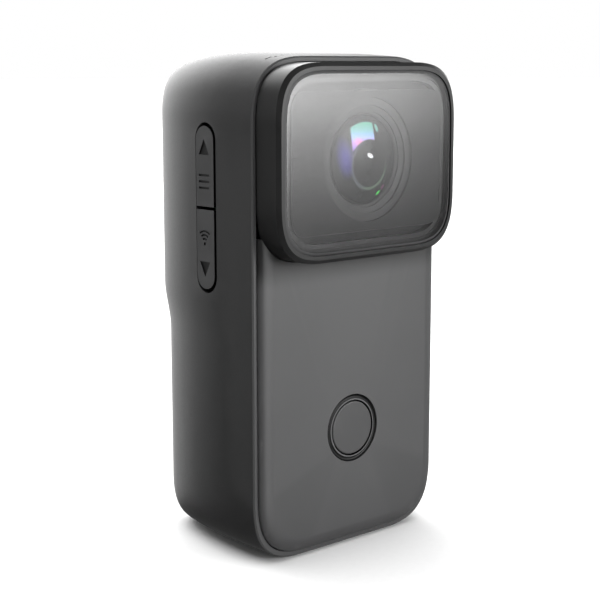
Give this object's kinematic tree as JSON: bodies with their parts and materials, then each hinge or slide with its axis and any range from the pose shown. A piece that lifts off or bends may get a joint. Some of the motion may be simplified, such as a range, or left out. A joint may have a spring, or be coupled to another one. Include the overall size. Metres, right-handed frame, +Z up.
{
  "type": "action camera",
  "caption": "Thumb-size upright action camera with a square lens housing, round record button, side keys, rear display and hinged bottom battery door.",
  "frame": {"origin": "centre of the overall box at the surface the camera stands on", "axes": "+Z up the camera, the lens looks along -Y, the side keys are on -X"},
  "size_m": [0.0402, 0.0352, 0.08],
  "materials": {
    "aluminium": "bead-blasted aluminium",
    "battery_wrap": "dark film over an aluminium laminate cell",
    "black_trim": "matt black",
    "button": "satin grey",
    "card": "black memory card",
    "chip": "black moulded chip package",
    "circuit_board": "green solder mask",
    "contact_metal": "gold-plated contacts",
    "cover_glass": "clear coated glass",
    "display_glass": "black-backed glossy glass",
    "display_panel": "dark display module",
    "flex": "amber flexible circuit",
    "inner_plastic": "black moulded nylon",
    "key": "satin dark grey with engraved symbols",
    "lens_glass": "multi-coated optical glass",
    "lens_hood": "satin black",
    "lens_metal": "black anodised aluminium",
    "light_guide": "translucent light guide",
    "magnet": "nickel-plated magnet",
    "panel": "smooth satin grey",
    "rubber": "black silicone",
    "sensor": "image sensor under glass",
    "shell": "soft-touch dark grey, very fine grain",
    "steel": "bright steel"
  },
  "bodies": {
    "housing": {"battery": "battery_wrap", "battery_contacts": "contact_metal", "battery_tray": "inner_plastic", "board_screws": "steel", "body_shell": "shell", "card_socket": "steel", "chassis": "aluminium", "cover_glass": "cover_glass", "display_flex": "flex", "display_frame": "inner_plastic", "display_gasket": "black_trim", "display_glass": "display_glass", "display_panel": "display_panel", "door_hinge_pin": "steel", "filter_frame": "inner_plastic", "front_panel": "panel", "glass_gasket": "black_trim", "heat_spreader": "aluminium", "image_sensor": "sensor", "io_board": "circuit_board", "ir_filter": "lens_glass", "lens_aperture": "lens_metal", "lens_barrel": "lens_metal", "lens_front_element": "lens_glass", "lens_holder": "inner_plastic", "lens_housing": "lens_hood", "lens_rear_element": "lens_glass", "lens_retaining_ring": "lens_metal", "lens_second_element": "lens_glass", "lens_surround": "black_trim", "magnets": "magnet", "main_board": "circuit_board", "memory_card": "card", "memory_chip": "chip", "microphones": "steel", "processor_chip": "chip", "radio_module": "chip", "record_board": "circuit_board", "record_button_ring": "button", "record_button_seal": "rubber", "record_switch": "steel", "sensor_board": "circuit_board", "sensor_flex": "flex", "sensor_screws": "steel", "shield_can": "steel", "side_key_seal": "rubber", "side_switch_board": "circuit_board", "side_switches": "steel", "speaker": "inner_plastic", "status_light": "light_guide", "surround_plate": "black_trim", "usb_port": "steel", "window_mask": "black_trim"},
    "record_button": {"record_button": "button"},
    "side_key_upper": {"side_key_upper": "key"},
    "side_key_lower": {"side_key_lower": "key"},
    "battery_door": {"battery_door": "shell", "door_seal": "rubber"},
    "door_latch": {"door_latch": "button"}
  },
  "joints": [
    {"name": "record_button_press", "type": "slide", "parent": "housing", "child": "record_button", "axis": [0, 1, 0], "range_m": [0, 0.0004], "stiffness_N_per_m": 3000},
    {"name": "side_key_upper_press", "type": "slide", "parent": "housing", "child": "side_key_upper", "axis": [1, 0, 0], "range_m": [0, 0.0004], "stiffness_N_per_m": 3000},
    {"name": "side_key_lower_press", "type": "slide", "parent": "housing", "child": "side_key_lower", "axis": [1, 0, 0], "range_m": [0, 0.0004], "stiffness_N_per_m": 3000},
    {"name": "battery_door_hinge", "type": "hinge", "parent": "housing", "child": "battery_door", "pos_m": [0, 0.0088, 0.00162], "axis": [1, 0, 0], "range_deg": [0, 90]},
    {"name": "door_latch_slide", "type": "slide", "parent": "battery_door", "child": "door_latch", "axis": [0, -1, 0], "range_m": [0, 0.0016]}
  ]
}
